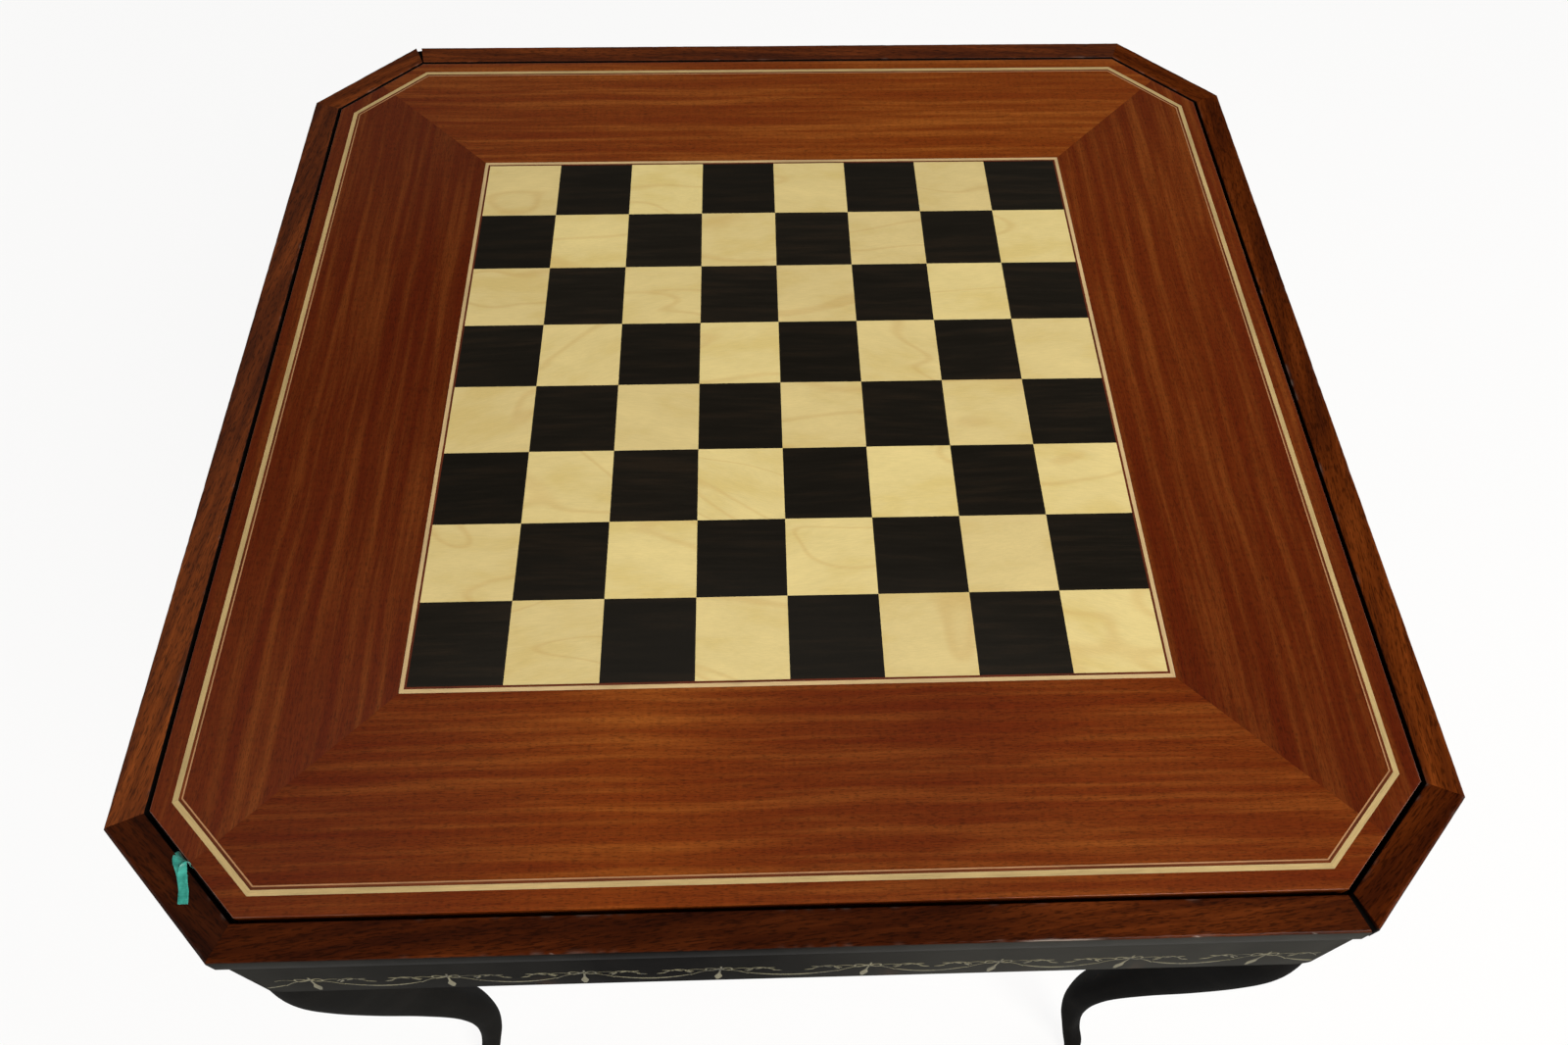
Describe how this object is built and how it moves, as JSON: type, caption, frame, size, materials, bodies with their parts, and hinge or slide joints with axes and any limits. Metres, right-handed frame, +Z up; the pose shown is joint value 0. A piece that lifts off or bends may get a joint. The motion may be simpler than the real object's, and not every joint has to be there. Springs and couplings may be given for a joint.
{
  "type": "games table",
  "caption": "Square games table with cut corners, cabriole legs and a loose inlaid chess panel that lifts off a shallow lined well by a ribbon tab.",
  "frame": {"origin": "on the floor, under the middle of the table", "axes": "+Z up, front of the table towards -Y, +X to the right seen from the front"},
  "size_m": [0.752, 0.752, 0.7809],
  "materials": {
    "mahogany": "oiled mahogany, satin, open grain",
    "ebonised_wood": "ebonised hardwood under a gloss lacquer",
    "sapele_veneer": "ribbon-striped sapele veneer, glossy lacquer",
    "maple_veneer": "yellowed maple veneer, glossy lacquer",
    "ebony_veneer": "dark stained veneer, glossy lacquer",
    "brown_stringing": "brown wood stringing, lacquered",
    "pale_stringing": "boxwood stringing, lacquered",
    "tan_stringing": "tan wood stringing, lacquered",
    "panel_board": "plain sanded panel board",
    "plywood": "plain birch plywood",
    "green_baize": "dark green wool baize, napped",
    "turquoise_ribbon": "turquoise satin ribbon",
    "pine": "planed pine",
    "zinc_steel": "zinc-plated steel",
    "nylon": "moulded nylon"
  },
  "bodies": {
    "table": {"top_rail_right": "mahogany", "top_rail_back_right": "mahogany", "top_rail_back": "mahogany", "top_rail_back_left": "mahogany", "top_rail_left": "mahogany", "top_rail_front_left": "mahogany", "top_rail_front": "mahogany", "top_rail_front_right": "mahogany", "apron_right": "ebonised_wood", "apron_back_right": "ebonised_wood", "apron_back": "ebonised_wood", "apron_back_left": "ebonised_wood", "apron_left": "ebonised_wood", "apron_front_left": "ebonised_wood", "apron_front": "ebonised_wood", "apron_front_right": "ebonised_wood", "well_walls": "mahogany", "well_floor": "plywood", "well_lining": "green_baize", "floor_cleat_right": "pine", "floor_cleat_back": "pine", "floor_cleat_left": "pine", "floor_cleat_front": "pine", "leg_front_left": "ebonised_wood", "leg_front_right": "ebonised_wood", "leg_back_right": "ebonised_wood", "leg_back_left": "ebonised_wood", "bracket_front_left": "zinc_steel", "bracket_front_right": "zinc_steel", "bracket_back_right": "zinc_steel", "bracket_back_left": "zinc_steel", "leg_bolt_front_left": "zinc_steel", "leg_bolt_front_right": "zinc_steel", "leg_bolt_back_right": "zinc_steel", "leg_bolt_back_left": "zinc_steel", "leg_nut_front_left": "zinc_steel", "leg_nut_front_right": "zinc_steel", "leg_nut_back_right": "zinc_steel", "leg_nut_back_left": "zinc_steel", "foot_glide_front_left": "nylon", "foot_glide_front_right": "nylon", "foot_glide_back_right": "nylon", "foot_glide_back_left": "nylon"},
    "chess_panel": {"panel_core": "panel_board", "panel_lipping": "mahogany", "veneer_right": "sapele_veneer", "veneer_back": "sapele_veneer", "veneer_left": "sapele_veneer", "veneer_front": "sapele_veneer", "squares_light": "maple_veneer", "squares_dark": "ebony_veneer", "board_line_brown": "brown_stringing", "board_line_pale": "pale_stringing", "string_fine": "tan_stringing", "string_dark": "brown_stringing", "string_band": "pale_stringing", "panel_baize": "green_baize", "ribbon_tab": "turquoise_ribbon"}
  },
  "joints": [
    {"name": "panel_lift", "type": "slide", "parent": "table", "child": "chess_panel", "axis": [0, 0, 1], "range_m": [0, 0.12]}
  ]
}
